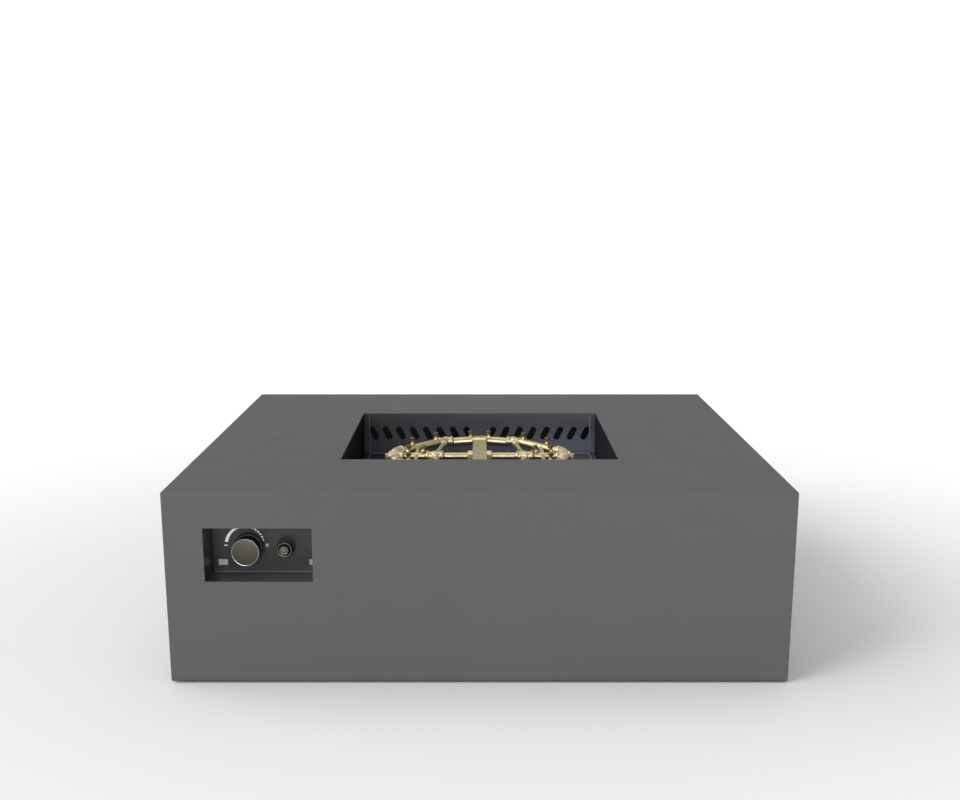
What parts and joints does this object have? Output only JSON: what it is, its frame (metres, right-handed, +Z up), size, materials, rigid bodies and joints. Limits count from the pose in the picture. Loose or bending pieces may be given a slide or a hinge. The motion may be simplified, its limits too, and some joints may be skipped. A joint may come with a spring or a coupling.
{
  "type": "gas fire pit table",
  "caption": "Low square metal-cased gas fire pit with a sunken slotted tray, a brass jet burner, and a knob and push-button igniter in a front window.",
  "frame": {"origin": "centre of the square footprint on the ground", "axes": "+Z up, +X to the right as the controls are faced, +Y from the control face to the rear"},
  "size_m": [1.22, 1.22, 0.387],
  "materials": {
    "casing_coat": "fine-textured satin powder coat, dark grey",
    "recess_coat": "satin powder coat, near black",
    "frame_coat": "satin powder coat",
    "tray_coat": "heat-resistant satin coat, blue-black",
    "tray_floor_coat": "heat-resistant satin coat, slate",
    "pad_rubber": "matt",
    "zinc": "zinc plated",
    "black_zinc": "black zinc plated",
    "stainless": "brushed",
    "brass": "turned and forged brass",
    "brass_pipe": "drawn brass pipe",
    "brass_hot": "brass with heat tints",
    "brass_jet": "brass darkened by the flame",
    "valve_brass": "forged brass",
    "hose_steel": "corrugated stainless hose",
    "spring_steel": "spring wire",
    "print_white": "printed",
    "label_pale": "printed label",
    "knob_plastic": "moulded",
    "knob_metal": "satin gunmetal",
    "ring_chrome": "polished",
    "button_metal": "turned gunmetal",
    "battery_sleeve": "printed sleeve",
    "pilot_ceramic": "glazed",
    "lead_silicone": "silicone sleeve"
  },
  "bodies": {
    "table": {"outer_shell": "casing_coat", "base_rails_long": "frame_coat", "base_rails_short": "frame_coat", "corner_posts": "frame_coat", "top_stiffeners": "frame_coat", "tray_beams": "frame_coat", "beam_brackets": "frame_coat", "foot_pads": "pad_rubber", "tray_wall_rear": "tray_coat", "tray_wall_front": "tray_coat", "tray_wall_left": "tray_coat", "tray_wall_right": "tray_coat", "tray_floor": "tray_floor_coat", "casing_studs": "zinc", "casing_nuts": "zinc", "burner_manifold": "brass", "burner_collars": "brass", "burner_cross_pipes": "brass_pipe", "burner_crosses": "brass", "burner_ring_pipes": "brass_pipe", "burner_side_pipes": "brass_pipe", "burner_arms": "brass_pipe", "burner_corners": "brass_hot", "burner_elbows": "brass_hot", "burner_end_tees": "brass_hot", "burner_plugs": "brass_hot", "burner_links": "brass_pipe", "burner_ring_tees": "brass_hot", "burner_jets": "brass_jet", "tilted_jets": "brass_jet", "burner_supports": "stainless", "inlet_nipple": "stainless", "burner_locknuts": "zinc", "air_mixer": "brass", "burner_hose": "hose_steel", "supply_hose": "hose_steel", "gas_inlet_fitting": "brass", "inlet_bracket": "zinc", "inlet_locknut": "brass", "gas_valve": "valve_brass", "valve_nut": "zinc", "valve_spring": "spring_steel", "control_box": "recess_coat", "control_panel": "recess_coat", "panel_screws": "black_zinc", "dial_print": "print_white", "panel_labels": "label_pale", "igniter_housing": "knob_plastic", "igniter_ring": "ring_chrome", "igniter_spring": "spring_steel", "igniter_nut": "zinc", "igniter_battery": "battery_sleeve", "pilot_bracket": "stainless", "spark_electrode": "pilot_ceramic", "pilot_leads": "lead_silicone"},
    "valve_slide": {"thrust_washer": "stainless"},
    "knob": {"valve_stem": "stainless", "knob_body": "knob_plastic", "knob_cap": "knob_metal"},
    "igniter_push_button": {"igniter_button": "button_metal"}
  },
  "joints": [
    {"name": "knob_push", "type": "slide", "parent": "table", "child": "valve_slide", "axis": [0, 1, 0], "range_m": [0, 0.0035], "stiffness_N_per_m": 900, "deforming": ["valve_spring"]},
    {"name": "knob_turn", "type": "hinge", "parent": "valve_slide", "child": "knob", "pos_m": [-0.46, -0.52, 0.256], "axis": [0, -1, 0], "range_deg": [0, 180]},
    {"name": "igniter_push", "type": "slide", "parent": "table", "child": "igniter_push_button", "axis": [0, 1, 0], "range_m": [0, 0.004], "stiffness_N_per_m": 500, "deforming": ["igniter_spring"]}
  ]
}
